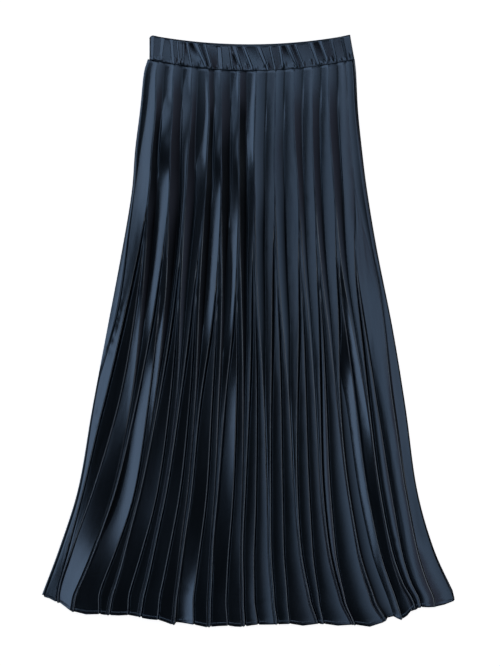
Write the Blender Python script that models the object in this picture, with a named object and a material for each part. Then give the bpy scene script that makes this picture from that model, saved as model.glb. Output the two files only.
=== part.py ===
"""A pleated midi skirt lying flat on its back panel, with its waist towards +Y.

Four cut-and-sewn pieces: a front and a back panel, pleated in rays from waist to hem, and a
front and a back waistband casing, gathered on the elastic inside it. The front panel lies on
the back panel and the front casing on the back casing, as they do in a skirt laid on a table.

A place on a panel is (across, down). Across runs from 0 at the left side seam to 1 at the
right one. Down runs from 0 at the waist seam to 1 at the hem.
"""

from collections import namedtuple

import bmesh
import bpy

# Sizes in metres.
SKIRT = "pleated_midi_skirt"
WALL = 0.0018  # a panel's cloth, measured straight down through it
SEAM_GAP = 0.0003
WAIST_Y = 0.4112  # the waist seam at the side seams
WAIST_SAG = 0.0172  # how far the waist seam dips in the middle
HEM_Y = -0.4013  # the hem at the left side seam
HEM_POINT = 0.0016  # how far a ridge's hem reaches past the hem beside it
HEM_POINT_STARTS = 8  # the power that keeps that to the last of the way down
BACK_RELIEF_WAIST = 0.0012  # table to crest
BACK_RELIEF_HEM = 0.0046
STEEPEST = 1.9  # rise over run of the steepest face
WALL_LEAN = 1.3  # the same of the step down at an edge
LEAST_FACE = 0.0012  # the narrowest face between two creases
SPREAD_ROUNDS = 60
SIDE_FALL = 0.090  # the share of the width in which the panels come down to the side seam
SIDE_SHARE = 0.010  # the same for the creases of the front
BACK_PLEATS = 36
BACK_FOOT = 0.34  # the share of a back pleat that lies flat on the table
BACK_LEAN = 0.72  # where a back pleat's crest stands between its feet

BAND_LEFT = -0.1510
BAND_RIGHT_TOP = 0.1533
BAND_RIGHT_SEAM = 0.1600
BAND_HEIGHT = 0.0375
BAND_WALL = 0.0030  # two layers of cloth with the elastic between
BAND_TILT = 0.0016  # how much thicker its top edge is
BAND_CROWN = 0.0005  # how far it swells between its two edges
BAND_RISE = 0.0015  # the highest gather
FRONT_BAND_Z = BAND_WALL + SEAM_GAP
BACK_BAND_SHOWS = 0.0032  # how far the back casing shows above the front one, mid-waist
BACK_BAND_POINTS = 16  # along the back casing, which is not seen to gather

# The half-widths of the skirt at a drop below the side's waist seam.
Width = namedtuple("Width", "drop left right")
WIDTHS = (
    Width(0.0000, 0.1538, 0.1605),
    Width(0.0075, 0.1565, 0.1615),
    Width(0.0166, 0.1595, 0.1626),
    Width(0.0772, 0.1656, 0.1656),
    Width(0.1378, 0.1732, 0.1717),
    Width(0.1984, 0.1778, 0.1793),
    Width(0.2893, 0.1929, 0.1945),
    Width(0.4104, 0.2157, 0.2187),
    Width(0.5316, 0.2385, 0.2385),
    Width(0.6528, 0.2598, 0.2554),
    Width(0.7437, 0.2887, 0.2811),
    Width(0.8123, 0.3145, 0.3124),
)

# How far each panel's hem lies below the hem at the left side seam.
Hem = namedtuple("Hem", "across front back")
HEMS = (
    Hem(0.000, 0.0000, 0.0000),
    Hem(0.020, 0.0018, 0.0022),
    Hem(0.040, 0.0095, 0.0100),
    Hem(0.060, 0.0185, 0.0190),
    Hem(0.080, 0.0243, 0.0248),
    Hem(0.100, 0.0262, 0.0275),
    Hem(0.160, 0.0266, 0.0285),
    Hem(0.230, 0.0292, 0.0312),
    Hem(0.270, 0.0342, 0.0345),
    Hem(0.310, 0.0402, 0.0400),
    Hem(0.350, 0.0418, 0.0420),
    Hem(0.400, 0.0440, 0.0438),
    Hem(0.470, 0.0434, 0.0430),
    Hem(0.520, 0.0420, 0.0412),
    Hem(0.545, 0.0394, 0.0396),
    Hem(0.570, 0.0412, 0.0406),
    Hem(0.700, 0.0414, 0.0410),
    Hem(0.765, 0.0434, 0.0422),
    Hem(0.800, 0.0424, 0.0400),
    Hem(0.815, 0.0392, 0.0380),
    Hem(0.835, 0.0318, 0.0316),
    Hem(0.855, 0.0338, 0.0300),
    Hem(0.872, 0.0292, 0.0296),
    Hem(0.885, 0.0200, 0.0276),
    Hem(0.910, 0.0152, 0.0208),
    Hem(0.930, 0.0132, 0.0138),
    Hem(0.950, 0.0158, 0.0130),
    Hem(0.970, 0.0132, 0.0126),
    Hem(1.000, 0.0055, 0.0055),
)

# The front panel's pleats, one a row. A pleat is one hill from the waist until its crest splits
# into a left and a right edge. A middle edge appears between them further down. Each column
# gives places across the panel at the distances down that DOWN has for it.
DOWN = {
    "crest": (0.00, 0.10, 0.22),
    "edge": (0.40, 0.60, 0.80, 0.95, 1.00),
    "valley": (0.00, 0.10, 0.22, 0.40),
}
Pleat = namedtuple("Pleat", "crest left middle right valley appears")
PLEATS = (
    Pleat((0.055, 0.073, 0.074), (0.058, 0.038, 0.015, 0.026, 0.032), (0.086, 0.084, 0.043, 0.032, 0.038),
          (0.103, 0.120, 0.100, 0.078, 0.066), (0.095, 0.103, 0.108, 0.124), 0.38),
    Pleat((0.137, 0.150, 0.160), (0.157, 0.140, 0.107, 0.084, 0.072), (0.170, 0.176, 0.165, 0.138, 0.134),
          (0.188, 0.196, 0.178, 0.166, 0.151), (0.183, 0.195, 0.208, 0.214), 0.49),
    Pleat((0.225, 0.236, 0.230), (0.226, 0.210, 0.182, 0.172, 0.158), (0.238, 0.244, 0.231, 0.211, 0.203),
          (0.245, 0.265, 0.250, 0.240, 0.226), (0.258, 0.262, 0.272, 0.268), 0.47),
    Pleat((0.300, 0.319, 0.313), (0.292, 0.277, 0.258, 0.247, 0.233), (0.302, 0.307, 0.298, 0.285, 0.274),
          (0.314, 0.325, 0.322, 0.320, 0.308), (0.335, 0.345, 0.343, 0.338), 0.45),
    Pleat((0.362, 0.375, 0.381), (0.372, 0.342, 0.333, 0.326, 0.315), (0.380, 0.379, 0.378, 0.366, 0.360),
          (0.396, 0.400, 0.402, 0.400, 0.393), (0.410, 0.422, 0.420, 0.410), 0.47),
    Pleat((0.450, 0.455, 0.456), (0.445, 0.421, 0.410, 0.408, 0.400), (0.452, 0.457, 0.455, 0.445, 0.442),
          (0.467, 0.479, 0.483, 0.480, 0.476), (0.489, 0.492, 0.492, 0.487), 0.46),
    Pleat((0.530, 0.527, 0.522), (0.505, 0.498, 0.490, 0.487, 0.483), (0.517, 0.522, 0.522, 0.513, 0.514),
          (0.527, 0.545, 0.556, 0.554, 0.554), (0.583, 0.577, 0.566, 0.556), 0.45),
    Pleat((0.622, 0.617, 0.607), (0.580, 0.568, 0.566, 0.561, 0.561), (0.600, 0.600, 0.600, 0.592, 0.590),
          (0.610, 0.626, 0.635, 0.641, 0.653), (0.666, 0.660, 0.651, 0.641), 0.42),
    Pleat((0.706, 0.704, 0.706), (0.678, 0.652, 0.644, 0.647, 0.659), (0.690, 0.680, 0.678, 0.668, 0.672),
          (0.706, 0.709, 0.712, 0.717, 0.738), (0.752, 0.744, 0.733, 0.719), 0.44),
    Pleat((0.797, 0.785, 0.776), (0.748, 0.726, 0.720, 0.723, 0.743), (0.757, 0.745, 0.740, 0.731, 0.748),
          (0.772, 0.779, 0.793, 0.792, 0.816), (0.838, 0.825, 0.808, 0.790), 0.44),
    Pleat((0.873, 0.864, 0.860), (0.822, 0.790, 0.798, 0.802, 0.822), (0.835, 0.838, 0.852, 0.853, 0.860),
          (0.851, 0.872, 0.884, 0.876, 0.884), (0.915, 0.908, 0.897, 0.869), 0.42),
    Pleat((0.955, 0.952, 0.948), (0.895, 0.881, 0.888, 0.884, 0.892), (0.903, 0.905, 0.920, 0.905, 0.905),
          (0.975, 0.958, 0.962, 0.945, 0.938), (0.985, 0.985, 0.985, 0.982), 0.42),
)
LAST_VALLEY = (0.981, 0.964, 0.968, 0.952, 0.946)  # at DOWN["edge"]
SLIT_STARTS, SLIT_DEEP = 0.17, 0.29  # where the crest splits, and where the slit is deepest
SLIT_DEPTH = 0.60  # as a share of the relief
VALLEY_NARROWS, VALLEY_NARROW = 0.46, 0.66  # where the valleys close to slits
APPEARING = (-0.08, 0.06)  # where a middle edge rises, before and after its pleat's "appears"
LEFT_KNEE, LEFT_KNEE_LOW = 0.55, 0.30  # where a left slope bends, as a share of its width
KNEE_HEIGHT = 0.55  # as a share of the relief, in the upper part
LIP_WALL = 0.4  # the most of a face that the wall of its slit takes
VALLEY_WALL = 0.6  # the most of a valley's right half that its wall takes
RELIEF_DOWN = (0.00, 0.06, 0.13, 0.22, 0.50, 1.00)
RELIEF = (0.0018, 0.0032, 0.0048, 0.0056, 0.0060, 0.0060)  # valley floor to crest, there
FRONT_ROWS = (0.0, 0.06, 0.14, 0.22, 0.30, 0.40, 0.50, 0.60, 0.70, 0.80, 0.90, 1.0)
BACK_ROWS = (0.0, 0.14, 0.30, 0.50, 0.70, 0.80, 0.90, 1.0)

# The front casing's gathers: place across it, half-width, height as a share of BAND_RISE, and
# how far each leans to the right from the top edge to the seam. Lengths are in metres.
Gather = namedtuple("Gather", "across half_width height lean")
GATHERS = (
    Gather(0.065, 0.0055, 0.5, -0.005),
    Gather(0.120, 0.0032, 0.8, 0.002),
    Gather(0.143, 0.0024, 0.6, 0.002),
    Gather(0.169, 0.0028, 0.5, -0.001),
    Gather(0.198, 0.0030, 0.8, 0.005),
    Gather(0.220, 0.0022, 0.6, 0.006),
    Gather(0.262, 0.0050, 1.0, 0.014),
    Gather(0.290, 0.0030, 0.8, 0.008),
    Gather(0.358, 0.0042, 0.9, 0.001),
    Gather(0.440, 0.0050, 0.8, 0.008),
    Gather(0.480, 0.0030, 0.8, 0.011),
    Gather(0.568, 0.0050, 1.0, 0.010),
    Gather(0.612, 0.0030, 0.7, 0.004),
    Gather(0.655, 0.0030, 0.7, 0.001),
    Gather(0.712, 0.0050, 0.8, 0.010),
    Gather(0.738, 0.0030, 0.8, 0.009),
    Gather(0.822, 0.0042, 0.9, 0.007),
    Gather(0.868, 0.0036, 0.7, 0.007),
    Gather(0.915, 0.0045, 0.5, 0.002),
)
BAND_ROWS = (0.0, 0.14, 0.50, 0.86, 1.0)
BAND_FULLNESS = (0.35, 0.80, 1.0, 0.80, 0.45)  # a gather's height on each of those rows


def curve(stations, values, at):
    """A smooth line through the values, read at a place between the stations."""
    last = len(stations) - 1
    span = 0
    while span < last - 1 and at > stations[span + 1]:
        span += 1
    length = stations[span + 1] - stations[span]
    share = min(max((at - stations[span]) / length, 0.0), 1.0)

    def slope(place):
        before = max(place - 1, 0)
        after = min(place + 1, last)
        return (values[after] - values[before]) / (stations[after] - stations[before])

    rising = share * share * (3 - 2 * share)
    start = share * (1 - share) ** 2 * length * slope(span)
    end = share * share * (share - 1) * length * slope(span + 1)
    return values[span] * (1 - rising) + values[span + 1] * rising + start + end


def ease(start, end, at):
    """From 0 at start to 1 at end, level at both."""
    share = min(max((at - start) / (end - start), 0.0), 1.0)
    return share * share * (3 - 2 * share)


def mix(first, second, share):
    return first + (second - first) * share


def arch(share):
    """0 at both ends of a span and 1 in its middle."""
    return 1 - (2 * share - 1) ** 2


def waist_y(across):
    return WAIST_Y - WAIST_SAG * arch(across)


def hem_y(across, panel):
    drops = [getattr(row, panel) for row in HEMS]
    return HEM_Y - curve([row.across for row in HEMS], drops, across)


def side_x(y):
    """The left and right side seams at a height."""
    drops = [row.drop for row in WIDTHS]
    drop = min(max(WAIST_Y - y, drops[0]), drops[-1])
    left = curve(drops, [row.left for row in WIDTHS], drop)
    right = curve(drops, [row.right for row in WIDTHS], drop)
    return -left, right


def on_panel(across, down, panel):
    y = mix(waist_y(across) - SEAM_GAP / 2, hem_y(across, panel), down)
    left, right = side_x(y)
    return mix(left, right, across), y


def spread(places, least):
    """Moves neighbours apart until none are nearer than the least distance."""
    places = list(places)
    for _ in range(SPREAD_ROUNDS):
        for i in range(1, len(places)):
            lack = least - (places[i] - places[i - 1])
            if lack > 0:
                share = 0.0 if i == 1 else 1.0 if i == len(places) - 1 else 0.5
                places[i - 1] -= lack * share
                places[i] += lack * (1 - share)
    return places


def edge_line(pleat, edge, down):
    """Where an edge of a pleat lies: on the crest until the crest splits."""
    return curve(DOWN["crest"] + DOWN["edge"], pleat.crest + getattr(pleat, edge), down)


def valley_line(i, down):
    """Where the valley on a pleat's right ends: half way to the next pleat in its lower part."""
    if i + 1 < len(PLEATS):
        beside = zip(PLEATS[i].right, PLEATS[i + 1].left)
        lower = tuple(mix(right, left, 0.5) for right, left in beside)
    else:
        lower = LAST_VALLEY
    return curve(DOWN["valley"] + DOWN["edge"][1:], PLEATS[i].valley + lower[1:], down)


def front_creases(down, width):
    """Every crease of the front panel at one distance down, as (across, height) pairs.

    Height is in metres above the valley floors of the upper part.
    """
    relief = curve(RELIEF_DOWN, RELIEF, down)
    opening = ease(SLIT_STARTS, SLIT_DEEP, down)
    closing = ease(VALLEY_NARROWS, VALLEY_NARROW, down)
    slit_floor = relief * (1 - SLIT_DEPTH * opening)
    valley_floor = relief * (1 - SLIT_DEPTH) * closing
    creases = [(0.0, 0.0)]

    def step(start, end, share, floor):
        """How far a wall down to the floor reaches, at most a share of the way to the end."""
        return min((relief - floor) / (WALL_LEAN * width), (end - start) * share)

    foot = 0.0
    for i, pleat in enumerate(PLEATS):
        left, middle, right = [edge_line(pleat, edge, down) for edge in ("left", "middle", "right")]
        shown = ease(pleat.appears + APPEARING[0], pleat.appears + APPEARING[1], down)
        second_floor = mix(relief, slit_floor, shown)
        knee_height = mix(valley_floor, relief, mix(KNEE_HEIGHT, 1.0, closing))
        creases.append((mix(foot, left, mix(LEFT_KNEE, LEFT_KNEE_LOW, closing)), knee_height))
        creases.append((left, relief))
        for edge, end, floor in ((left, middle, slit_floor), (middle, right, second_floor)):
            reach = step(edge, end, LIP_WALL, floor)
            creases.append((edge + reach, floor))
            creases.append((edge + 2 * reach, relief))
            creases.append((end, relief))
        valley = valley_line(i, down)
        bottom = right + step(right, valley, VALLEY_WALL, valley_floor)
        creases.append((bottom, valley_floor))
        foot = mix(valley, bottom + LEAST_FACE / width, closing)
        creases.append((foot, valley_floor))
    creases.append((1.0, 0.0))
    return creases


def level_slopes(xs, heights):
    """Raises the feet of faces that would be too steep."""
    heights = list(heights)
    order = list(range(1, len(xs))) + list(range(len(xs) - 2, -1, -1))
    for i in order:
        for j in (i - 1, i + 1):
            if 0 <= j < len(xs):
                heights[i] = max(heights[i], heights[j] - STEEPEST * abs(xs[i] - xs[j]))
    return heights


def side_fade(across, share):
    return min(across / share, (1 - across) / share, 1.0)


def back_top(across, down):
    """The highest that the back panel's upper face comes."""
    relief = mix(BACK_RELIEF_WAIST, BACK_RELIEF_HEM, down)
    return WALL + relief * side_fade(across, SIDE_FALL)


def front_floor(across, down):
    """The height of the front panel's valley floors, on their upper face."""
    relief = mix(BACK_RELIEF_WAIST, BACK_RELIEF_HEM, down)
    return WALL + relief * side_fade(across, SIDE_FALL) + SEAM_GAP + WALL


def front_row(down):
    """The front panel's upper face along one row: a list of points."""
    left, right = side_x(mix(WAIST_Y, HEM_Y, down))
    width = right - left
    creases = front_creases(down, width)
    xs = [place * width for place in spread([place for place, _ in creases], LEAST_FACE / width)]
    heights = [height * side_fade(x / width, SIDE_SHARE) for x, (_, height) in zip(xs, creases)]
    heights = level_slopes(xs, heights)
    row = []
    for place, height in zip(xs, heights):
        place /= width
        x, y = on_panel(place, down, "front")
        y -= HEM_POINT * height / RELIEF[-1] * down ** HEM_POINT_STARTS
        row.append((x, y, front_floor(place, down) + height))
    return row


def back_row(down):
    """The back panel's upper face along one row. Between its pleats it lies on the table."""
    row = []
    pitch = 1 / BACK_PLEATS
    foot = pitch * BACK_FOOT / 2
    for i in range(BACK_PLEATS + 1):
        middle = i * pitch
        places = [middle - foot, middle + foot, mix(middle + foot, middle + pitch - foot, BACK_LEAN)]
        for j, place in enumerate(places):
            if 0 < place < 1:
                top = back_top(place, down) if j == 2 else WALL
                row.append((place, top))
    row = [(0.0, WALL)] + row + [(1.0, WALL)]
    return [on_panel(place, down, "back") + (top,) for place, top in row]


def gather_marks(share, full, length):
    """The front casing's gathers along one row: places across it and the height there."""
    marks = [(0.0, 0.0)]
    for gather in GATHERS:
        middle = gather.across + gather.lean / length * (share - 0.5)
        reach = gather.half_width / length
        marks.append((middle - reach, 0.0))
        marks.append((middle, gather.height * full * BAND_RISE))
        marks.append((middle + reach, 0.0))
    marks.append((1.0, 0.0))
    return marks


def band_row(share, full, is_front):
    """A casing's upper face along one row, from its top edge at 0 to the waist seam at 1."""
    right = mix(BAND_RIGHT_TOP, BAND_RIGHT_SEAM, share)
    length = right - BAND_LEFT
    if is_front:
        marks = gather_marks(share, full, length)
        top = FRONT_BAND_Z + BAND_WALL + BAND_TILT * (1 - share) + BAND_CROWN * arch(share)
        shows = 0.0
    else:
        marks = [(i / (BACK_BAND_POINTS - 1), 0.0) for i in range(BACK_BAND_POINTS)]
        top = BAND_WALL
        shows = BACK_BAND_SHOWS
    places = spread([place for place, _ in marks], LEAST_FACE / length)
    row = []
    for place, (_, rise) in zip(places, marks):
        up = SEAM_GAP / 2 + BAND_HEIGHT * (1 - share)
        up += shows * arch(place) * (1 - share)
        row.append((mix(BAND_LEFT, right, place), waist_y(place) + up, top + rise))
    return row


def cloth(name, rows, underside, material):
    """A closed wall of cloth from rows of points on its upper face.

    The rows run down the piece. The underside gives each point's height below.
    """
    along = len(rows[0])
    mesh = bpy.data.meshes.new(name)
    shape = bmesh.new()
    bmesh.ops.create_grid(shape, x_segments=along - 1, y_segments=len(rows) - 1, size=1.0)
    shape.verts.ensure_lookup_table()
    points = [point for row in reversed(rows) for point in row]
    order = sorted(shape.verts, key=lambda vert: (round(vert.co.y, 4), vert.co.x))
    for vert, point in zip(order, points):
        vert.co = point
    below = bmesh.ops.extrude_face_region(shape, geom=list(shape.faces))
    for item in below["geom"]:
        if isinstance(item, bmesh.types.BMVert):
            item.co.z = underside(item.co.x, item.co.y, item.co.z)
    bmesh.ops.triangulate(shape, faces=list(shape.faces))
    bmesh.ops.recalc_face_normals(shape, faces=list(shape.faces))
    shape.to_mesh(mesh)
    shape.free()
    mesh.materials.append(material)
    thing = bpy.data.objects.new(name, mesh)
    bpy.data.collections[SKIRT].objects.link(thing)
    return thing


def one_wall_down(x, y, z):
    return z - WALL


def flat_at(height):
    return lambda x, y, z: height


def satin(name, colour, roughness):
    material = bpy.data.materials.new(name)
    material.use_nodes = True
    shader = material.node_tree.nodes["Principled BSDF"]
    shader.inputs["Base Color"].default_value = colour
    shader.inputs["Roughness"].default_value = roughness
    shader.inputs["Metallic"].default_value = 0.0
    return material


def make_panels():
    front = satin("front_satin", (0.022, 0.042, 0.072, 1), 0.38)
    back = satin("back_satin", (0.020, 0.038, 0.066, 1), 0.40)
    cloth("front_panel", [front_row(down) for down in FRONT_ROWS], one_wall_down, front)
    cloth("back_panel", [back_row(down) for down in BACK_ROWS], one_wall_down, back)


def make_waistband():
    front = satin("front_casing_satin", (0.024, 0.045, 0.076, 1), 0.42)
    back = satin("back_casing_satin", (0.020, 0.038, 0.066, 1), 0.42)
    rows = list(zip(BAND_ROWS, BAND_FULLNESS))
    cloth("waistband_front", [band_row(share, full, True) for share, full in rows],
          flat_at(FRONT_BAND_Z), front)
    cloth("waistband_back", [band_row(share, full, False) for share, full in rows], flat_at(0.0), back)


def main():
    for thing in list(bpy.data.objects):
        bpy.data.objects.remove(thing)
    bpy.context.scene.collection.children.link(bpy.data.collections.new(SKIRT))
    make_panels()
    make_waistband()


main()
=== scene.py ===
"""The looks of a pleated satin skirt that lies flat on its back panel, its waist towards +Y.

Each cloth piece is a thin shell on the form of its CAD solid, with the same pleats and gathers
in finer detail. A place on a panel is (across, down): across from 0 at the left side seam to 1
at the right one, down from 0 at the waist seam to 1 at the hem. Lengths are in metres.
"""

import math
from collections import namedtuple

import bpy
import numpy as np
from mathutils import Matrix, Vector


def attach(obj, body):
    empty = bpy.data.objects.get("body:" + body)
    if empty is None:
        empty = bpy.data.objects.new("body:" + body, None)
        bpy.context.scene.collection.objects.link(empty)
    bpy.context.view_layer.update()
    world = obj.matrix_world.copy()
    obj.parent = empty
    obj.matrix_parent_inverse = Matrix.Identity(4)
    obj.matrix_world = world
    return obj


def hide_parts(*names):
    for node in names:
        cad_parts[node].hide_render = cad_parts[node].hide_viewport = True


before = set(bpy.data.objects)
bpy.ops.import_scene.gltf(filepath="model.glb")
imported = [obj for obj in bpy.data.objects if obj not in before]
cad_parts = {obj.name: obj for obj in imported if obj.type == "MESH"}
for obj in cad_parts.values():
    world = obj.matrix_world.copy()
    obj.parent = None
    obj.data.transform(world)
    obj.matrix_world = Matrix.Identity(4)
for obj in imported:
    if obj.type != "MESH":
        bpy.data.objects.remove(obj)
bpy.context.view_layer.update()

# ---- The outline and the back's pleats, as in the CAD solids ----
WAIST_Y = 0.4112  # the waist seam at the side seams
WAIST_SAG = 0.0172  # how far the waist seam dips in the middle
HEM_Y = -0.4013  # the hem at the left side seam
SEAM_GAP = 0.0003
BACK_RELIEF_WAIST = 0.0016
BACK_RELIEF_HEM = 0.0050
BACK_PLEATS = 36
BACK_FOOT = 0.34  # the share of a pleat's width that lies flat
BACK_LEAN = 0.72  # how far across the rest of it the crest is
SIDE_FALL = 0.090  # the share of the width in which the panels come down to the side seam

# ---- The shells of the panels ----
CLOTH = 0.0006  # the thickness of the shells
WAIST_TUCK = 0.0010  # how far the panels go up under the waistband
FRONT_ROWS = 104
BACK_ROWS = 48
ROW_CROWDING = 0.3  # how much closer together the rows are towards the waist and the hem
EVENED = 2  # how many times each column of the front is evened out along its length
LEAST_FACE = 0.00025
SPREAD_PASSES = 40
EDGE_REACH = 0.0004  # how far a sharp crease is rounded on each side
EDGE_MOST = 0.42  # the most of the way to the next crease that the rounding takes
CRUMPLED_ACROSS = (0.020, 0.045)  # where the crumpled stretch fades out
CRUMPLED_DOWN = (0.40, 0.50)  # where it fades in
SMOOTH_DOWN = (0.70, 0.80)  # and out again

# ---- The front's creases ----
STEEPEST = 2.6  # rise over run
SIDE_SHARE = 0.005  # the share of the width in which the creases reach their height
SIDE_LIFT = 0.08  # how much the right side's last face rises, to lie level
SIDE_LIFT_HEM = 0.14  # the same near the hem
SIDE_LIFT_DOWN = (0.60, 0.85)  # between which distances down it changes from one to the other
HOLLOW = 0.50  # how much a steep face is hollowed
WALL_LEAN = 2.6  # the step down at an edge
WALL_MOST = 0.45  # the most of a face that the wall at its start takes
LIP = 0.0012  # the width of the pressed edge, above that step
LIP_LEAN = 0.72
LIP_MOST = 0.3  # the most of its slit that a lip takes
KNEE = 0.14  # the steep foot's share of a hill's right side

# ---- The front's hem ----
HEM_FOLD = 0.0007  # how far the narrow hem stands above the cloth over it
HEM_FOLD_ROWS = ((0.10, 0.0), (0.18, 1.0), (0.60, 1.0))  # places between the last two rows
HEM_POINT = 0.0024  # how far a ridge's hem reaches past the hem beside it
POINT_RISE = 0.006  # the rise of an edge whose hem reaches a whole HEM_POINT further
POINT_FADE = 8  # how soon the points fade above the hem, as a power of the distance down
POINT_VARIES = 0.5  # how much they differ, as a share
POINT_TURN = 83.0  # how quickly that changes across the panel, in radians a panel
HEM_HOOK = (0.0020, 0.0065)  # how far the ridges turn to the right above the hem, by the two sides
HOOK_STARTS = 0.955
HOOK_FADE = 0.06  # the share of the width, at each side, in which they turn less

# ---- The casings ----
BAND_LEFT = -0.1510
BAND_RIGHT_TOP = 0.1533
BAND_RIGHT_SEAM = 0.1600
BAND_HEIGHT = 0.0375
BAND_WALL = 0.0030
GATHER_SLOPE = 0.48  # rise over run of a gather's left side, in the middle of the band
GATHER_TURN = 0.08  # how much steeper that side is at the band's right end than at its left
GATHER_CREST = 0.0014  # how far a gather's crest stands above the casing
GATHER_STARTS = (0.12, 0.06)  # how far above and below its start a gather comes up
GATHER_ENDS = (0.10, 0.14)  # how far above and below its end it fades
GATHER_GAP = 0.0003
BAND_CROWN = 0.0002  # how far the casing swells between its two edges
BAND_TILT = 0.0004  # how much further from the surface its top edge is
BAND_EDGE = 0.0016  # how wide its two ends are rolled
BACK_BAND_SHOWS = 0.0032
SEAM_PUFFS = 35
PUFF_RISE = 0.0003
PUFF_REACH = 0.30  # the share of the casing's height that a puff takes up
PUFF_BREADTH = 0.27  # half its breadth, as a share of the spacing
PUFF_SHIFT = 0.22  # how far it is off its place, as a share of the spacing
PUFF_SLANT = 0.002
PUFF_TURNS = (2.4, 1.7)  # what makes the shift and the height differ from one puff to the next

# How far to the left and to the right the panels reach at a drop below the waist seam.
Width = namedtuple("Width", "drop left right")
WIDTHS = (
    Width(0.0000, 0.1538, 0.1605),
    Width(0.0075, 0.1565, 0.1615),
    Width(0.0166, 0.1595, 0.1626),
    Width(0.0772, 0.1656, 0.1656),
    Width(0.1378, 0.1732, 0.1717),
    Width(0.1984, 0.1778, 0.1793),
    Width(0.2893, 0.1929, 0.1945),
    Width(0.4104, 0.2157, 0.2187),
    Width(0.5316, 0.2385, 0.2385),
    Width(0.6528, 0.2598, 0.2554),
    Width(0.7437, 0.2887, 0.2811),
    Width(0.8123, 0.3145, 0.3124),
)

# How far below HEM_Y each panel's hem is.
Hem = namedtuple("Hem", "across front back")
HEMS = (
    Hem(0.000, 0.0000, 0.0000),
    Hem(0.020, 0.0018, 0.0022),
    Hem(0.040, 0.0095, 0.0100),
    Hem(0.060, 0.0185, 0.0190),
    Hem(0.080, 0.0243, 0.0248),
    Hem(0.100, 0.0262, 0.0275),
    Hem(0.160, 0.0266, 0.0285),
    Hem(0.230, 0.0292, 0.0312),
    Hem(0.270, 0.0342, 0.0345),
    Hem(0.310, 0.0402, 0.0400),
    Hem(0.350, 0.0418, 0.0420),
    Hem(0.400, 0.0440, 0.0438),
    Hem(0.470, 0.0434, 0.0430),
    Hem(0.520, 0.0420, 0.0412),
    Hem(0.545, 0.0394, 0.0396),
    Hem(0.570, 0.0412, 0.0406),
    Hem(0.700, 0.0414, 0.0410),
    Hem(0.765, 0.0434, 0.0422),
    Hem(0.800, 0.0424, 0.0400),
    Hem(0.815, 0.0392, 0.0380),
    Hem(0.835, 0.0318, 0.0316),
    Hem(0.855, 0.0338, 0.0300),
    Hem(0.872, 0.0292, 0.0296),
    Hem(0.885, 0.0200, 0.0276),
    Hem(0.910, 0.0152, 0.0208),
    Hem(0.930, 0.0132, 0.0138),
    Hem(0.950, 0.0158, 0.0130),
    Hem(0.970, 0.0132, 0.0126),
    Hem(1.000, 0.0036, 0.0055),
)

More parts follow.
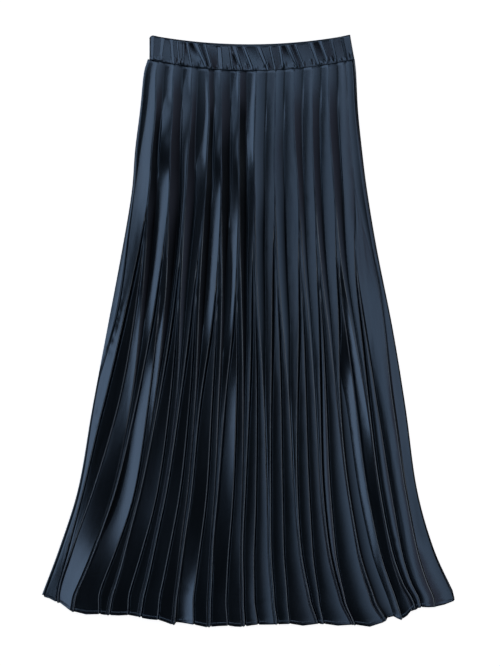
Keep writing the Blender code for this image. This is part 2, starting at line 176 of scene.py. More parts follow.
# The creases of the front. A pleat is one soft hill from its valley's left to its right, until
# its crest splits into a left and a right edge, and a middle edge comes up between them.
# Each column gives places across the panel at the distances down that DOWN has for it.
DOWN = {
    "crest": (0.00, 0.10, 0.22),
    "edge": (0.40, 0.60, 0.80, 0.95, 1.00),
    "valley": (0.00, 0.10, 0.22, 0.40),
}
Pleat = namedtuple("Pleat", "crest left middle right valley appears")
PLEATS = (
    Pleat((0.055, 0.073, 0.074), (0.058, 0.038, 0.015, 0.026, 0.032),
          (0.086, 0.084, 0.043, 0.032, 0.038), (0.103, 0.120, 0.100, 0.078, 0.066),
          (0.095, 0.103, 0.108, 0.124), 0.38),
    Pleat((0.137, 0.150, 0.160), (0.157, 0.140, 0.107, 0.084, 0.072),
          (0.170, 0.176, 0.165, 0.138, 0.134), (0.188, 0.196, 0.178, 0.166, 0.151),
          (0.183, 0.195, 0.208, 0.214), 0.49),
    Pleat((0.225, 0.236, 0.230), (0.226, 0.210, 0.182, 0.172, 0.158),
          (0.238, 0.244, 0.231, 0.211, 0.203), (0.245, 0.265, 0.250, 0.240, 0.226),
          (0.258, 0.262, 0.272, 0.268), 0.47),
    Pleat((0.300, 0.319, 0.313), (0.292, 0.277, 0.258, 0.247, 0.233),
          (0.302, 0.307, 0.298, 0.285, 0.274), (0.314, 0.325, 0.322, 0.320, 0.308),
          (0.335, 0.345, 0.343, 0.338), 0.45),
    Pleat((0.362, 0.375, 0.381), (0.372, 0.342, 0.333, 0.326, 0.315),
          (0.380, 0.379, 0.378, 0.366, 0.360), (0.396, 0.400, 0.402, 0.400, 0.393),
          (0.410, 0.422, 0.420, 0.410), 0.47),
    Pleat((0.450, 0.455, 0.456), (0.445, 0.421, 0.410, 0.408, 0.400),
          (0.452, 0.457, 0.455, 0.445, 0.442), (0.467, 0.479, 0.483, 0.480, 0.476),
          (0.489, 0.492, 0.492, 0.487), 0.46),
    Pleat((0.530, 0.527, 0.522), (0.505, 0.498, 0.490, 0.487, 0.483),
          (0.517, 0.522, 0.522, 0.513, 0.514), (0.527, 0.545, 0.556, 0.554, 0.554),
          (0.583, 0.577, 0.566, 0.556), 0.45),
    Pleat((0.622, 0.617, 0.607), (0.580, 0.568, 0.566, 0.561, 0.561),
          (0.600, 0.600, 0.600, 0.592, 0.590), (0.610, 0.626, 0.635, 0.641, 0.653),
          (0.666, 0.660, 0.651, 0.641), 0.42),
    Pleat((0.706, 0.704, 0.706), (0.678, 0.652, 0.644, 0.647, 0.659),
          (0.690, 0.680, 0.678, 0.668, 0.672), (0.706, 0.709, 0.712, 0.717, 0.738),
          (0.752, 0.744, 0.733, 0.719), 0.44),
    Pleat((0.797, 0.785, 0.776), (0.748, 0.726, 0.720, 0.723, 0.743),
          (0.757, 0.745, 0.740, 0.731, 0.748), (0.772, 0.779, 0.793, 0.792, 0.816),
          (0.838, 0.825, 0.808, 0.790), 0.44),
    Pleat((0.873, 0.864, 0.860), (0.822, 0.790, 0.798, 0.802, 0.822),
          (0.835, 0.838, 0.852, 0.853, 0.860), (0.851, 0.872, 0.884, 0.876, 0.884),
          (0.915, 0.908, 0.897, 0.869), 0.42),
    Pleat((0.955, 0.952, 0.948), (0.895, 0.881, 0.888, 0.884, 0.892),
          (0.903, 0.905, 0.920, 0.905, 0.905), (0.975, 0.958, 0.962, 0.945, 0.938),
          (0.985, 0.985, 0.985, 0.982), 0.42),
)
LAST_VALLEY = (0.981, 0.964, 0.968, 0.952, 0.946)  # at DOWN["edge"]
SLIT_STARTS, SLIT_DEEP = 0.17, 0.29  # how far down the slits start and are at full depth
SLIT_DEPTH = 0.60  # a share of the relief
GROOVE_DOWN = (0.00, 0.20, 0.30, 0.46, 0.60)
GROOVE = (0.014, 0.012, 0.015, 0.028, 0.004)  # where a groove beside the left seam ends, across
GROOVE_WIDTH = 0.25  # the share of that distance that the groove takes
GROOVE_FLOOR = 0.4  # its floor, as a share of the height of its bank
SEAM_LEAN = 0.33  # how steeply the cloth rises from the seam to the groove
PAINTED_VALLEY_SHADE = 0.6  # how much shade is painted into a valley above the slits, as a share of a slit's
WAIST_FALL = 0.5  # the share of a hill's right slope that is there at the waist
WAIST_ENDS = 0.14  # how far down the whole slope is there
SLIT_MOST = (0.5, 0.4)  # the most of the way to the next edge that the two slits of a pleat take
APPEARS = (0.08, 0.06)  # how far above and below its place a middle edge comes up
SLIT_WALL = 1.1  # how steeply a slit's right side rises, before it narrows
SLIT_NARROWS, SLIT_NARROW = 0.45, 0.75  # how far down the slits start to narrow and are narrow
VALLEY_NARROWS, VALLEY_NARROW = 0.46, 0.66  # the same of the valleys

# Valley floor to crest, and how widely the folds are rounded, down the front.
RELIEF_DOWN = (0.00, 0.06, 0.13, 0.22, 0.50, 1.00)
RELIEF = (0.0024, 0.0038, 0.0050, 0.0056, 0.0060, 0.0060)
ROUNDNESS = (0.0016, 0.0012, 0.0008, 0.0005, 0.0002, 0.0002)
KERNEL = ((-1.8, 0.08), (-1.1, 0.18), (-0.5, 0.20), (0.0, 0.08),
          (0.5, 0.20), (1.1, 0.18), (1.8, 0.08))  # places, in ROUNDNESS, and their weights

# A crease of the front: its place and height, whether the mesh has a column just before and just
# after it, which keeps the wide faces beside it level, and how far down in a slit it is, which
# sets the shade painted into the colour there.
Crease = namedtuple("Crease", "across height before after depth")

# How steeply each pleat's three faces rise to their right: the hill's left side, and the faces
# that end at the middle and at the right edge. Then how steeply the hill's right side falls, and
# how far the faces swell in their middle, as a share of their width.
LEAN_DOWN = {
    "slope": (0.00, 0.06, 0.14, 0.22, 0.40, 0.60, 0.95),
    "face": (0.34, 0.48, 0.60, 0.80, 0.95),
}
Lean = namedtuple("Lean", "slope middle right fall crown")
LEANS = (
    Lean((0.28, 0.29, 0.29, 0.25, 0.13, 0.32, 0.10), (0.00, -0.02, -0.02, 0.05, 0.20),
         (0.00, 0.26, 0.25, 0.05, 0.23), 0.42, 0.0),
    Lean((0.36, 0.30, -0.08, 0.30, 0.38, 0.00, 0.00), (0.00, 0.10, 0.32, 0.30, 0.10),
         (0.00, 0.34, 0.30, 0.00, 0.00), 0.42, 0.0),
    Lean((0.36, 0.20, -0.08, -0.10, 0.00, 0.00, 0.00), (0.00, 0.00, 0.12, 0.20, 0.05),
         (0.10, 0.05, 0.00, 0.00, 0.00), 0.32, 0.0),
    Lean((0.38, 0.38, 0.34, 0.10, 0.00, 0.00, 0.00), (0.00, 0.00, 0.10, 0.00, 0.00),
         (0.12, 0.08, 0.00, 0.00, 0.05), 0.42, 0.0),
    Lean((0.38, 0.15, -0.08, 0.25, 0.40, 0.00, 0.00), (0.00, 0.00, 0.00, 0.10, 0.31),
         (0.00, 0.05, 0.00, 0.00, 0.05), 0.42, 0.0),
    Lean((0.38, 0.25, -0.08, 0.20, 0.40, 0.00, 0.00), (0.00, 0.10, 0.31, 0.22, 0.05),
         (0.00, 0.05, 0.05, 0.00, 0.05), 0.42, 0.01),
    Lean((0.40, 0.40, 0.30, 0.10, 0.00, 0.00, 0.00), (0.05, 0.05, 0.05, 0.05, 0.00),
         (-0.05, -0.03, 0.00, 0.00, 0.00), 0.10, 0.03),
    Lean((0.00, -0.04, -0.04, -0.04, 0.00, 0.05, 0.08), (-0.05, -0.04, 0.04, 0.06, 0.06),
         (-0.05, 0.00, 0.04, 0.05, 0.05), 0.15, 0.03),
    Lean((-0.04, -0.04, -0.04, -0.04, -0.03, 0.05, 0.11), (-0.05, -0.03, 0.04, 0.06, 0.08),
         (-0.04, 0.03, 0.05, 0.05, 0.05), 0.22, 0.03),
    Lean((-0.04, -0.04, -0.04, -0.04, -0.03, 0.05, 0.13), (-0.06, -0.12, -0.12, -0.12, -0.10),
         (0.04, 0.04, 0.04, 0.05, 0.07), 0.22, 0.04),
    Lean((-0.04, -0.04, -0.04, -0.04, -0.03, 0.05, 0.13), (-0.04, 0.10, 0.46, 0.50, 0.52),
         (0.04, 0.40, 0.44, 0.22, 0.14), 0.20, 0.03),
    Lean((-0.04, -0.04, -0.04, -0.04, -0.03, 0.05, 0.12), (-0.04, 0.00, 0.04, 0.06, 0.08),
         (-0.04, 0.04, 0.08, 0.12, 0.08), 0.02, 0.08),
)

# The front casing's gathers. Each rises over its half width to a crest at a place across the band,
# at its strength's share of GATHER_SLOPE, between a start and an end on the way down. From the top
# edge to the seam it slants to the right by its lean, and its half width changes to a share of
# what it is at the top.
Gather = namedtuple("Gather", "across half_width strength lean narrows starts ends")
GATHERS = (
    Gather(0.022, 0.0052, 0.90, -0.001, 1.0, 0.00, 1.00),
    Gather(0.068, 0.0055, 0.90, -0.005, 0.8, 0.00, 0.90),
    Gather(0.120, 0.0044, 0.95, 0.002, 1.0, 0.00, 1.00),
    Gather(0.146, 0.0027, 0.85, 0.002, 1.0, 0.05, 0.95),
    Gather(0.172, 0.0026, 0.75, -0.001, 0.9, 0.10, 0.80),
    Gather(0.200, 0.0034, 0.95, 0.005, 0.8, 0.00, 1.00),
    Gather(0.262, 0.0071, 0.85, 0.014, 0.40, 0.00, 1.00),
    Gather(0.294, 0.0038, 0.95, 0.008, 0.8, 0.00, 1.00),
    Gather(0.358, 0.0061, 0.90, 0.001, 1.2, 0.10, 1.00),
    Gather(0.408, 0.0034, 0.80, 0.002, 0.9, 0.00, 1.00),
    Gather(0.444, 0.0073, 0.80, 0.008, 0.50, 0.00, 1.00),
    Gather(0.492, 0.0041, 0.95, 0.011, 0.9, 0.00, 1.00),
    Gather(0.568, 0.0067, 0.85, 0.010, 0.6, 0.00, 1.00),
    Gather(0.612, 0.0036, 0.85, 0.004, 1.0, 0.00, 1.00),
    Gather(0.655, 0.0038, 0.90, 0.001, 0.9, 0.00, 1.00),
    Gather(0.712, 0.0061, 0.80, 0.010, 0.5, 0.00, 0.90),
    Gather(0.744, 0.0031, 0.95, 0.009, 0.8, 0.00, 1.00),
    Gather(0.822, 0.0056, 0.85, 0.007, 0.8, 0.00, 1.00),
    Gather(0.868, 0.0048, 0.90, 0.007, 0.6, 0.00, 0.85),
    Gather(0.915, 0.0043, 0.80, 0.002, 0.8, 0.00, 0.90),
    Gather(0.965, 0.0040, 0.75, 0.001, 0.8, 0.05, 0.95),
)

# Round a casing, from the seam end of its underside over its top edge: how far down it each
# row lies, as a share of its height, and how high, as a share of its thickness.
CASING_UNDER = ((1.00, 0.05), (0.70, 0.00), (0.35, 0.00), (0.06, 0.00), (0.012, 0.14), (0.00, 0.42),
                (0.010, 0.74), (0.035, 0.93))
CASING_END = ((0.982, 0.97), (0.995, 0.86), (1.00, 0.60))
CASING_FACE = (0.07, 0.935)  # where the rows of its face start and end
CASING_FACE_ROWS = 26
CASING_COLUMNS = 420
END_CROWDING = 0.25  # how much closer together the columns are towards its ends
CORNER = 0.0080  # the rounding of the left top corner
CORNER_DROP = 0.6  # how far that corner comes down, as a share of CORNER

# ---- The view ----
VIEW_CENTRE_X = 0.00152
VIEW_CENTRE_Y = -0.00380
VIEW_HEIGHT = 1.0123
LENS_MM = 85
SENSOR_MM = 36


def curve(stations, values, at):
    """A smooth line through the values, read at a place between the stations."""
    last = len(stations) - 1
    span = 0
    while span < last - 1 and at > stations[span + 1]:
        span += 1
    length = stations[span + 1] - stations[span]
    share = min(max((at - stations[span]) / length, 0.0), 1.0)

    def slope(place):
        before = max(place - 1, 0)
        after = min(place + 1, last)
        return (values[after] - values[before]) / (stations[after] - stations[before])

    rising = share * share * (3 - 2 * share)
    start = share * (1 - share) ** 2 * length * slope(span)
    end = share * share * (share - 1) * length * slope(span + 1)
    return values[span] * (1 - rising) + values[span + 1] * rising + start + end


def ease(start, end, at):
    """From 0 at start to 1 at end, level at both."""
    share = min(max((at - start) / (end - start), 0.0), 1.0)
    return share * share * (3 - 2 * share)


def mix(first, second, share):
    return first + (second - first) * share


def waist_y(across):
    return WAIST_Y - WAIST_SAG * (1 - (2 * across - 1) ** 2)


def hem_y(across, panel):
    drops = [getattr(row, panel) for row in HEMS]
    return HEM_Y - curve([row.across for row in HEMS], drops, across)


def side_x(y):
    """The left and right side seams at a height."""
    drops = [row.drop for row in WIDTHS]
    drop = min(max(WAIST_Y - y, drops[0]), drops[-1])
    left = curve(drops, [row.left for row in WIDTHS], drop)
    right = curve(drops, [row.right for row in WIDTHS], drop)
    return -left, right


def on_panel(across, down, panel):
    y = mix(waist_y(across) + WAIST_TUCK, hem_y(across, panel), down)
    left, right = side_x(y)
    return mix(left, right, across), y


def spread(places, least):
    """Moves neighbours apart until none are nearer than the least distance."""
    places = list(places)
    for _ in range(SPREAD_PASSES):
        for i in range(1, len(places)):
            lack = least - (places[i] - places[i - 1])
            if lack > 0:
                share = 0.0 if i == 1 else 1.0 if i == len(places) - 1 else 0.5
                places[i - 1] -= lack * share
                places[i] += lack * (1 - share)
    return places


def edge_line(pleat, edge, down):
    """Where an edge of a pleat lies: on the crest until the crest splits."""
    return curve(DOWN["crest"] + DOWN["edge"], pleat.crest + getattr(pleat, edge), down)


def valley_line(i, down):
    if i + 1 < len(PLEATS):
        beside = zip(PLEATS[i].right, PLEATS[i + 1].left)
        lower = tuple(mix(right, left, 0.5) for right, left in beside)
    else:
        lower = LAST_VALLEY
    return curve(DOWN["valley"] + DOWN["edge"][1:], PLEATS[i].valley + lower[1:], down)


def front_creases(down, relief, width):
    """Every crease of the front at one distance down."""
    opening = ease(SLIT_STARTS, SLIT_DEEP, down)
    closing = ease(VALLEY_NARROWS, VALLEY_NARROW, down)
    slit_floor = relief * (1 - SLIT_DEPTH * opening)
    # Painted shade for the valleys, rising to a slit's full painted shade where the slits open.
    shaded = mix(PAINTED_VALLEY_SHADE, 1.0, opening)
    falling = mix(WAIST_FALL, 1.0, ease(0.0, WAIST_ENDS, down))
    slit_wall = mix(SLIT_WALL, STEEPEST, ease(SLIT_NARROWS, SLIT_NARROW, down))
    groove = curve(GROOVE_DOWN, GROOVE, down)
    clear = 1 - ease(GROOVE_DOWN[-2], GROOVE_DOWN[-1], down)
    bank = groove * (1 - GROOVE_WIDTH)
    risen = SEAM_LEAN * bank * width * clear
    creases = [Crease(0.0, 0.0, False, False, 0.0), Crease(bank, risen, True, True, 0.0)]

    def lowered(floor, start, end, lean):
        """The floor that a face starts from: lower where the face leans more."""
        return min(floor, max(relief - lean * (end - start) * width, 0.0))

    def add_face(start, end, foot, lean, crown, depth, wall=STEEPEST):
        """A face that leans towards its edge from a wall at its start, or from a level foot."""
        run = max((end - start) * width, LEAST_FACE)
        rise = relief - foot
        if lean * run > rise:
            share, height = 1 - rise / (lean * run), foot
        else:
            share = min((rise - lean * run) / (wall * run), WALL_MOST)
            height = relief - lean * (1 - share) * run
        bend = mix(height, relief, 0.5 - HOLLOW * lean) + crown * (1 - share) * run
        # The foot takes the painted shade that depth gives; the other creases of the face take
        # none.
        creases.append(Crease(start, foot, False, True, depth))
        creases.append(Crease(mix(start, end, share), height, True, True, 0.0))
        creases.append(Crease(mix(start, end, mix(share, 1, 0.5)), bend, False, False, 0.0))
        creases.append(Crease(end, relief, True, True, 0.0))

    def add_lip(edge, reach, floor, pressed):
        """The pressed lip of an edge. Returns the foot of the step down from it."""
        lip = min(LIP * pressed, (reach - edge) * width * LIP_MOST)
        height = max(relief - lip * LIP_LEAN, floor)
        creases.append(Crease(edge + lip / width, height, True, False, 0.0))
        return min(edge + (lip + (height - floor) / WALL_LEAN) / width, reach)

    foot, valley_floor = groove, risen * GROOVE_FLOOR
    for i, (pleat, lean) in enumerate(zip(PLEATS, LEANS)):
        left, middle, right = [edge_line(pleat, edge, down) for edge in ("left", "middle", "right")]
        rising = curve(LEAN_DOWN["slope"], lean.slope, down)
        add_face(foot, left, valley_floor, rising, lean.crown * closing, shaded)
        shown = opening * ease(pleat.appears - APPEARS[0], pleat.appears + APPEARS[1], down)
        second_floor = mix(relief, slit_floor, shown)
        rising = curve(LEAN_DOWN["face"], lean.middle, down)
        floor = lowered(slit_floor, left, middle, rising)
        foot = add_lip(left, mix(left, middle, SLIT_MOST[0]), floor, opening)
        add_face(foot, middle, floor, rising, lean.crown * closing, opening, slit_wall)
        rising = curve(LEAN_DOWN["face"], lean.right, down)
        floor = lowered(second_floor, middle, right, rising * shown)
        foot = add_lip(middle, mix(middle, right, SLIT_MOST[1]), floor, opening)
        add_face(foot, right, floor, rising, lean.crown * closing, shown)
        valley = valley_line(i, down)
        fallen = max(relief - lean.fall * falling * (valley - right) * width, 0.0)
        is_last = pleat is PLEATS[-1]
        valley_floor = second_floor if is_last else mix(fallen, relief * (1 - SLIT_DEPTH), closing)
        lip_foot = add_lip(right, valley, valley_floor, shown if is_last else opening)
        foot = mix(valley, lip_foot, closing)
        shoulder = relief - lean.fall * falling * (1 - KNEE) * (foot - right) * width
        lowest = mix(valley_floor, relief, KNEE)
        # The valley's knee takes the painted valley shade.
        creases.append(Crease(mix(foot, right, KNEE), max(shoulder, lowest), True, True, shaded))
    lift = mix(SIDE_LIFT, SIDE_LIFT_HEM, ease(*SIDE_LIFT_DOWN, down))
    valley_floor = lowered(valley_floor, foot, 1.0, lift * shown)
    add_face(foot, 1 - SIDE_SHARE, valley_floor, lift, 0.0, shown, SLIT_WALL)
    creases.append(Crease(1.0, 0.0, False, False, 0.0))
    return creases


def level_slopes(xs, heights):
    """Raises the feet of faces that would be too steep."""
    heights = list(heights)
    for i in list(range(1, len(xs))) + list(range(len(xs) - 2, -1, -1)):
        for j in (i - 1, i + 1):
            if 0 <= j < len(xs):
                heights[i] = max(heights[i], heights[j] - STEEPEST * abs(xs[i] - xs[j]))
    return heights


def columns(xs, creases):
    """Where the mesh has its points along a row: on each crease, and beside the sharp ones."""
    places = [xs[0]]
    for i in range(1, len(xs) - 1):
        if creases[i].before:
            places.append(xs[i] - min(EDGE_REACH, (xs[i] - xs[i - 1]) * EDGE_MOST))
        places.append(xs[i])
        if creases[i].after:
            places.append(xs[i] + min(EDGE_REACH, (xs[i + 1] - xs[i]) * EDGE_MOST))
    places.append(xs[-1])
    return np.array(places)


def side_fade(across, share):
    return min(across / share, (1 - across) / share, 1.0)


def front_floor(across, down):
    relief = mix(BACK_RELIEF_WAIST, BACK_RELIEF_HEM, down)
    return CLOTH + relief * side_fade(across, SIDE_FALL) + SEAM_GAP + CLOTH


def front_row(down):
    """The front along one row: each point, its painted slit shade, and how crumpled."""
    left, right = side_x(mix(WAIST_Y, HEM_Y, down))
    width = right - left
    relief = curve(RELIEF_DOWN, RELIEF, down)
    creases = front_creases(down, relief, width)
    xs = [place * width for place in spread([crease.across for crease in creases],
                                            LEAST_FACE / width)]
    heights = [crease.height * side_fade(x / width, SIDE_SHARE) for x, crease in zip(xs, creases)]
    heights = level_slopes(xs, heights)
    roundness = curve(RELIEF_DOWN, ROUNDNESS, down)
    places = columns(xs, creases)
    rises = sum(weight * np.interp(places + offset * roundness, xs, heights)
                for offset, weight in KERNEL)
    # How much shade is painted on each point, from the creases beside it.
    painted_shades = np.interp(places, xs, [crease.depth for crease in creases])
    row = []
    for place, rise, depth in zip(places / width, rises, painted_shades):
        x, y = on_panel(place, down, "front")
        reach = relief if place > 1 - SIDE_SHARE else rise
        varied = 1 + POINT_VARIES * math.sin(POINT_TURN * place)
        y -= HEM_POINT * varied * reach / POINT_RISE * down ** POINT_FADE
        x += mix(*HEM_HOOK, place) * ease(HOOK_STARTS, 1.0, down) * side_fade(place, HOOK_FADE)
        row.append((x, y, front_floor(place, down) + rise, depth, crumpling(place, down)))
    return row


def crumpling(across, down):
    """How crumpled the cloth is: only in one stretch along the left side seam."""
    beside = 1 - ease(*CRUMPLED_ACROSS, across)
    return beside * ease(*CRUMPLED_DOWN, down) * (1 - ease(*SMOOTH_DOWN, down))


def back_row(down):
    """The back along one row: its flats and, between them, its leaning crests."""
    pitch = 1 / BACK_PLEATS
    foot = pitch * BACK_FOOT / 2
    relief = mix(BACK_RELIEF_WAIST, BACK_RELIEF_HEM, down)
    marks = []
    for i in range(BACK_PLEATS + 1):
        middle = i * pitch
        crest = mix(middle + foot, middle + pitch - foot, BACK_LEAN)
        top = relief * side_fade(crest, SIDE_FALL)
        marks += [(middle - foot, 0.0), (middle + foot, 0.0), (crest, top)]
    marks = [mark for mark in marks if 0 < mark[0] < 1]
    marks = [(0.0, 0.0)] + marks + [(1.0, 0.0)]
    row = []
    for place, height in marks:
        row.append(on_panel(place, down, "back") + (CLOTH + height,))
    return row


def gather_line(share, length):
    """The front casing's profile at a share of the way down: places along it, and rises."""
    places, rises = [0.0], [0.0]
    for gather in GATHERS:
        crest = gather.across * length + gather.lean * (share - 0.5)
        reach = gather.half_width * mix(1.0, gather.narrows, share)
        slope = gather.strength * (GATHER_SLOPE + GATHER_TURN * (gather.across - 0.5))
        slope *= ease(gather.starts - GATHER_STARTS[0], gather.starts + GATHER_STARTS[1], share)
        slope *= 1 - ease(gather.ends - GATHER_ENDS[0], gather.ends + GATHER_ENDS[1], share)
        places += [crest - reach, crest]
        rises += [-slope * reach, 0.0]
    return spread(places + [length], GATHER_GAP), rises + [0.0]


def puffed(along, share, length):
    """The small puffs beside the waist seam, each a little off the even spacing."""
    pitch = length / SEAM_PUFFS
    nearest = math.floor(along / pitch)
    shift = PUFF_SHIFT * math.sin(nearest * PUFF_TURNS[0]) * pitch + PUFF_SLANT * (share - 0.85)
    off = (along - (nearest + 0.5) * pitch - shift) / (pitch * PUFF_BREADTH)
    reach = 0.8 + 0.3 * math.sin(nearest * PUFF_TURNS[1])
    height = min(max(0.0, (share - 1) / PUFF_REACH + reach), 1.0)
    return PUFF_RISE * max(0.0, 1 - off * off) * height * (1 - height) * 4


def casing_row(share, level, floor, shows, is_front):
    """One row along a casing: the share of the way down it, and how far up its thickness."""
    right = mix(BAND_RIGHT_TOP, BAND_RIGHT_SEAM, share)
    length = right - BAND_LEFT
    gathers = gather_line(share, length)
    row = []
    for i in range(CASING_COLUMNS):
        place = 0.5 - 0.5 * math.cos(math.pi * i / (CASING_COLUMNS - 1))
        place = mix(i / (CASING_COLUMNS - 1), place, END_CROWDING)
        along = place * length
        end = min(along, length - along)
        thickness = BAND_WALL + BAND_CROWN * 4 * share * (1 - share)
        thickness += BAND_TILT * (1 - share) if is_front else 0
        if is_front:
            thickness += GATHER_CREST + np.interp(along, *gathers) + puffed(along, share, length)
        thickness *= 1 - max(1 - end / BAND_EDGE, 0.0) ** 3
        up = SEAM_GAP / 2 + BAND_HEIGHT * (1 - share)
        up += shows * (1 - (2 * place - 1) ** 2) * (1 - share)
        up -= CORNER * CORNER_DROP * max(1 - along / CORNER, 0.0) ** 3 * (1 - share)
        z = floor + CLOTH + level * (thickness - CLOTH)
        row.append((BAND_LEFT + along, waist_y(place) + up, z))
    return row


def casing(name, floor, shows, is_front, material):
    """A casing's shell, round its underside, its top edge and its face to the seam."""
    face = [(mix(*CASING_FACE, i / (CASING_FACE_ROWS - 1)), 1.0) for i in range(CASING_FACE_ROWS)]
    rows = [casing_row(share, level, floor, shows, is_front)
            for share, level in (*CASING_UNDER, *face, *CASING_END)]
    return sheet_mesh(name, rows, CLOTH, material)


def rows_down(count):
    """Places down a panel, closer together towards the waist and the hem."""
    places = []
    for i in range(count):
        share = i / (count - 1)
        places.append(share - ROW_CROWDING * math.sin(2 * math.pi * share) / (2 * math.pi))
    return places


def sheet_mesh(name, rows, thickness, material):
    """An open sheet from rows of points, which Solidify gives its thickness, downwards."""
    along = len(rows[0])
    points = [point for row in rows for point in row]
    faces = []
    for r in range(len(rows) - 1):
        for c in range(along - 1):
            corner = r * along + c
            faces.append((corner, corner + along, corner + along + 1, corner + 1))
    mesh = bpy.data.meshes.new(name)
    mesh.from_pydata(points, [], faces)
    layer = mesh.uv_layers.new(name="cloth")
    places = developed(rows)
    for loop in mesh.loops:
        layer.data[loop.index].uv = places[loop.vertex_index]
    mesh.shade_smooth()
    mesh.materials.append(material)
    thing = bpy.data.objects.new(name, mesh)
    bpy.context.collection.objects.link(thing)
    split = thing.modifiers.new("short diagonals", "TRIANGULATE")
    split.quad_method = "SHORTEST_DIAGONAL"
    shell = thing.modifiers.new("cloth thickness", "SOLIDIFY")
    shell.thickness = thickness
    shell.offset = -1.0
    shades = thing.modifiers.new("wide faces shaded level", "WEIGHTED_NORMAL")
    shades.mode = "FACE_AREA"
    return thing


def developed(rows):
    """Each point's place in the flat cloth, in metres, with the grain along the pleats."""
    middle = rows[len(rows) // 2]
    along = [0.0]
    for before, point in zip(middle, middle[1:]):
        along.append(along[-1] + math.dist(before, point))
    centre = len(middle) // 2
    places = []
    down = 0.0
    for r, row in enumerate(rows):
        if r:
            down += math.dist(rows[r - 1][centre], row[centre])
        places += [(place, -down) for place in along]
    return places


# ---- Materials ----
SATIN_BLUE = (0.122, 0.176, 0.243, 1)
SATIN_GREY = (0.142, 0.176, 0.226, 1)
PAINTED_SLIT_SHADE = 0.12  # the share of the colour left on the floor of a slit, as painted shade
CRUMPLE_TURN = math.radians(-32)
CRUMPLE_RISE = 0.0013
FLOOR_WHITE = 0.8
FLOOR_GLOW = 0.9
FLOOR_REACH = 30.0
FLOOR_Z = -0.0004  # just under the underside of the shells
ROOM_GLOW = 0.004


def new_material(name):
    material = bpy.data.materials.new(name)
    material.use_nodes = True
    nodes = material.node_tree.nodes
    return material, nodes, material.node_tree.links, nodes["Principled BSDF"]


def satin(name, tone=1.0, smoothest=0.17, roughest=0.26, unevenness=0.0006):
    """Dark blue satin: the sheen of its long floats, their grain, and shade painted into its slits.
    """
    material, nodes, links, shader = new_material(name)
    shader.inputs["Metallic"].default_value = 0.97

    def node(kind, **values):
        made = nodes.new(kind)
        for key, value in values.items():
            if key in made.inputs:
                made.inputs[key].default_value = value
            else:
                setattr(made, key, value)
        return made

    place = node("ShaderNodeUVMap", uv_map="cloth")

    def grain(scale, stretch, detail):
        """Noise drawn out down the cloth. The scale is in features a metre."""
        mapping = node("ShaderNodeMapping")
        mapping.inputs["Scale"].default_value = (1.0, stretch, 1.0)
        links.new(place.outputs["UV"], mapping.inputs["Vector"])
        noise = node("ShaderNodeTexNoise", Scale=scale, Detail=detail, Roughness=0.55)
        links.new(mapping.outputs["Vector"], noise.inputs["Vector"])
        return noise.outputs["Fac"]

    tint = node("ShaderNodeMix", data_type="RGBA")
    tint.inputs["A"].default_value = SATIN_BLUE
    tint.inputs["B"].default_value = SATIN_GREY
    links.new(grain(28.0, 0.12, 2.0), tint.inputs["Factor"])
    # Painted shade: the colour darkens towards a small share of itself deep in slits and valleys.
    depth = node("ShaderNodeAttribute", attribute_name="painted_slit_shade")
    painted_shade = node("ShaderNodeMapRange")
    painted_shade.inputs["To Min"].default_value = tone
    painted_shade.inputs["To Max"].default_value = tone * PAINTED_SLIT_SHADE
    links.new(depth.outputs["Fac"], painted_shade.inputs["Value"])
    colour = node("ShaderNodeVectorMath", operation="SCALE")
    links.new(tint.outputs["Result"], colour.inputs[0])
    links.new(painted_shade.outputs["Result"], colour.inputs["Scale"])
    links.new(colour.outputs["Vector"], shader.inputs["Base Color"])

    rough = node("ShaderNodeMapRange")
    rough.inputs["To Min"].default_value = smoothest
    rough.inputs["To Max"].default_value = roughest
    links.new(grain(240.0, 0.05, 3.0), rough.inputs["Value"])
    links.new(rough.outputs["Result"], shader.inputs["Roughness"])

    # Three reliefs, one on the other: threads, soft unevenness and the crumpled stretch.
    threads = node("ShaderNodeBump", Strength=0.25, Distance=0.00005)
    links.new(grain(1500.0, 0.06, 2.0), threads.inputs["Height"])
    uneven = node("ShaderNodeBump", Strength=0.6, Distance=unevenness)
    links.new(grain(60.0, 0.16, 2.0), uneven.inputs["Height"])
    links.new(threads.outputs["Normal"], uneven.inputs["Normal"])
    turned = node("ShaderNodeMapping")
    turned.inputs["Rotation"].default_value = (0, 0, CRUMPLE_TURN)
    turned.inputs["Scale"].default_value = (1.0, 2.4, 1.0)
    links.new(place.outputs["UV"], turned.inputs["Vector"])
    wrinkles = node("ShaderNodeTexNoise", Scale=34.0, Detail=0.0)
    links.new(turned.outputs["Vector"], wrinkles.inputs["Vector"])
    where = node("ShaderNodeAttribute", attribute_name="crumpling")
    lift = node("ShaderNodeMath", operation="MULTIPLY")
    links.new(wrinkles.outputs["Fac"], lift.inputs[0])
    links.new(where.outputs["Fac"], lift.inputs[1])
    crumples = node("ShaderNodeBump", Strength=1.0, Distance=CRUMPLE_RISE)
    links.new(lift.outputs["Value"], crumples.inputs["Height"])
    links.new(uneven.outputs["Normal"], crumples.inputs["Normal"])
    links.new(crumples.outputs["Normal"], shader.inputs["Normal"])
    return material


def white_floor():
    material, _, _, shader = new_material("white_floor")
    shader.inputs["Base Color"].default_value = (FLOOR_WHITE, FLOOR_WHITE, FLOOR_WHITE, 1)
    shader.inputs["Emission Color"].default_value = (1, 1, 1, 1)
    shader.inputs["Emission Strength"].default_value = FLOOR_GLOW
    return material


# ---- Pieces ----
def make_front():
    rows = hemmed(smoothed([front_row(down) for down in rows_down(FRONT_ROWS)]))
    points = [[point[:3] for point in row] for row in rows]
    front = sheet_mesh("front_panel_cloth", points, CLOTH, satin("front_satin"))
    # The painted slit shade and the crumpling, stored on the points for the material.
    for name, place in (("painted_slit_shade", 3), ("crumpling", 4)):
        layer = front.data.attributes.new(name, "FLOAT", "POINT")
        layer.data.foreach_set("value", [point[place] for row in rows for point in row])
    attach(front, "root")
    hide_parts("front_panel")
    return front


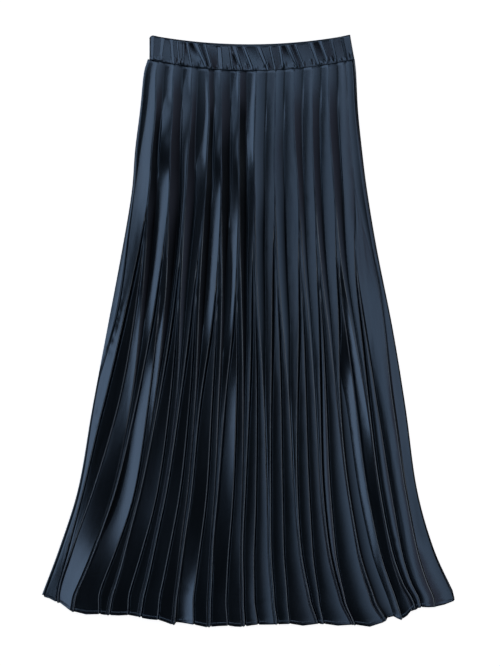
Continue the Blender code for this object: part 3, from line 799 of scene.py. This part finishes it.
def smoothed(rows):
    """The rows with each column evened out along its length."""
    grid = np.array(rows)
    for _ in range(EVENED):
        grid[1:-1] = 0.25 * grid[:-2] + 0.5 * grid[1:-1] + 0.25 * grid[2:]
    return [[tuple(point) for point in row] for row in grid.tolist()]


def hemmed(rows):
    """The rows with those of the narrow hem, which is folded twice and so stands higher."""
    above, last = np.array(rows[-2]), np.array(rows[-1])
    lift = np.array([0.0, 0.0, HEM_FOLD, 0.0, 0.0])
    hem = [mix(above, last, share) + lift * raised for share, raised in HEM_FOLD_ROWS]
    return rows[:-1] + [[tuple(point) for point in row.tolist()] for row in hem + [last + lift]]


def make_back():
    rows = [back_row(down) for down in rows_down(BACK_ROWS)]
    back = sheet_mesh("back_panel_cloth", rows, CLOTH, satin("back_satin"))
    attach(back, "root")
    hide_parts("back_panel")
    return back


def make_waistband():
    # The casings take a darker copy of the same satin, by its tone: painted shade.
    look = {"tone": 0.90, "smoothest": 0.18, "roughest": 0.25, "unevenness": 0.0002}
    inner = satin("back_casing_satin", **look)
    outer = satin("front_casing_satin", **look)
    back = casing("waistband_back_cloth", 0.0, BACK_BAND_SHOWS, False, inner)
    front = casing("waistband_front_cloth", BAND_WALL + SEAM_GAP, 0.0, True, outer)
    bands = ((back, "waistband_back", []), (front, "waistband_front", [back.name]))
    for piece, node, under in bands:
        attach(piece, "root")
        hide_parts(node)


def make_stage():
    mesh = bpy.data.meshes.new("floor")
    corners = [(FLOOR_REACH * x, FLOOR_REACH * y, FLOOR_Z)
               for x, y in ((-1, -1), (1, -1), (1, 1), (-1, 1))]
    mesh.from_pydata(corners, [], [(0, 1, 2, 3)])
    mesh.materials.append(white_floor())
    floor = bpy.data.objects.new("floor", mesh)
    floor.visible_glossy = False
    floor.visible_diffuse = False
    bpy.context.collection.objects.link(floor)


def softbox(name, place, aim, length, breadth, radiance, colour, along="Y"):
    """A rectangle of light whose length runs along X or Y, or level across its aim."""
    light = bpy.data.lights.new(name, "AREA")
    light.shape = "RECTANGLE"
    light.size, light.size_y = length, breadth
    light.energy = radiance * math.pi * length * breadth
    light.color = colour
    back = (Vector(place) - Vector(aim)).normalized()
    across = Vector((-back.y, back.x, 0))
    level = {"X": Vector((1, 0, 0)), "Y": Vector((0, 1, 0)), "across": across}[along]
    level = (level - back * level.dot(back)).normalized()
    lamp = bpy.data.objects.new(name, light)
    lamp.matrix_world = Matrix((level, back.cross(level), back)).transposed().to_4x4()
    lamp.location = place
    bpy.context.collection.objects.link(lamp)


def make_lights():
    blue, grey, mauve = (0.76, 0.86, 1.0), (1.0, 0.90, 0.82), (1.0, 0.84, 0.96)
    softbox("left_softbox", (-1.80, 0.4, 1.6), (0, 0.5, 0), 3.2, 1.0, 0.68, blue)
    softbox("right_softbox_edge", (0.18, 0.0, 2.4), (0.18, 0, 0), 2.4, 0.20, 0.20, blue)
    softbox("right_softbox", (0.58, 0.0, 2.4), (0.58, 0, 0), 2.4, 0.60, 0.42, blue)
    softbox("right_fill", (1.25, 0.0, 2.4), (1.25, 0, 0), 2.4, 0.70, 0.14, mauve)
    softbox("low_strip", (1.9, -0.3, 0.75), (0, 0, 0), 3.2, 0.7, 0.8, grey)
    for name, y in (("far_softbox", 3.2), ("near_softbox", -3.2)):
        softbox(name, (0, y, 1.5), (0, 0, 0), 3.6, 1.4, 0.45, blue, "X")
    for x, y in ((-2.4, -2.4), (2.4, -2.4), (2.4, 2.4), (-2.4, 2.4)):
        softbox("corner_softbox", (x, y, 1.1), (0, 0, 0), 2.2, 1.0, 0.40, blue, "across")
    softbox("top_softbox", (-0.48, 1.37, 2.3), (-0.48, 0.2, 0), 2.06, 0.8, 0.56, blue, "X")
    world = bpy.data.worlds.new("studio")
    world.use_nodes = True
    background = world.node_tree.nodes["Background"]
    background.inputs["Color"].default_value = (1, 1, 1, 1)
    background.inputs["Strength"].default_value = ROOM_GLOW
    bpy.context.scene.world = world


def make_camera():
    data = bpy.data.cameras.new("camera")
    data.lens = LENS_MM
    data.sensor_width = SENSOR_MM
    camera = bpy.data.objects.new("camera", data)
    camera.location = (VIEW_CENTRE_X, VIEW_CENTRE_Y, VIEW_HEIGHT * LENS_MM / SENSOR_MM)
    bpy.context.collection.objects.link(camera)
    bpy.context.scene.camera = camera


def main():
    bpy.context.scene.view_settings.view_transform = "Standard"
    make_back()
    make_front()
    make_waistband()
    make_stage()
    make_lights()
    make_camera()


main()
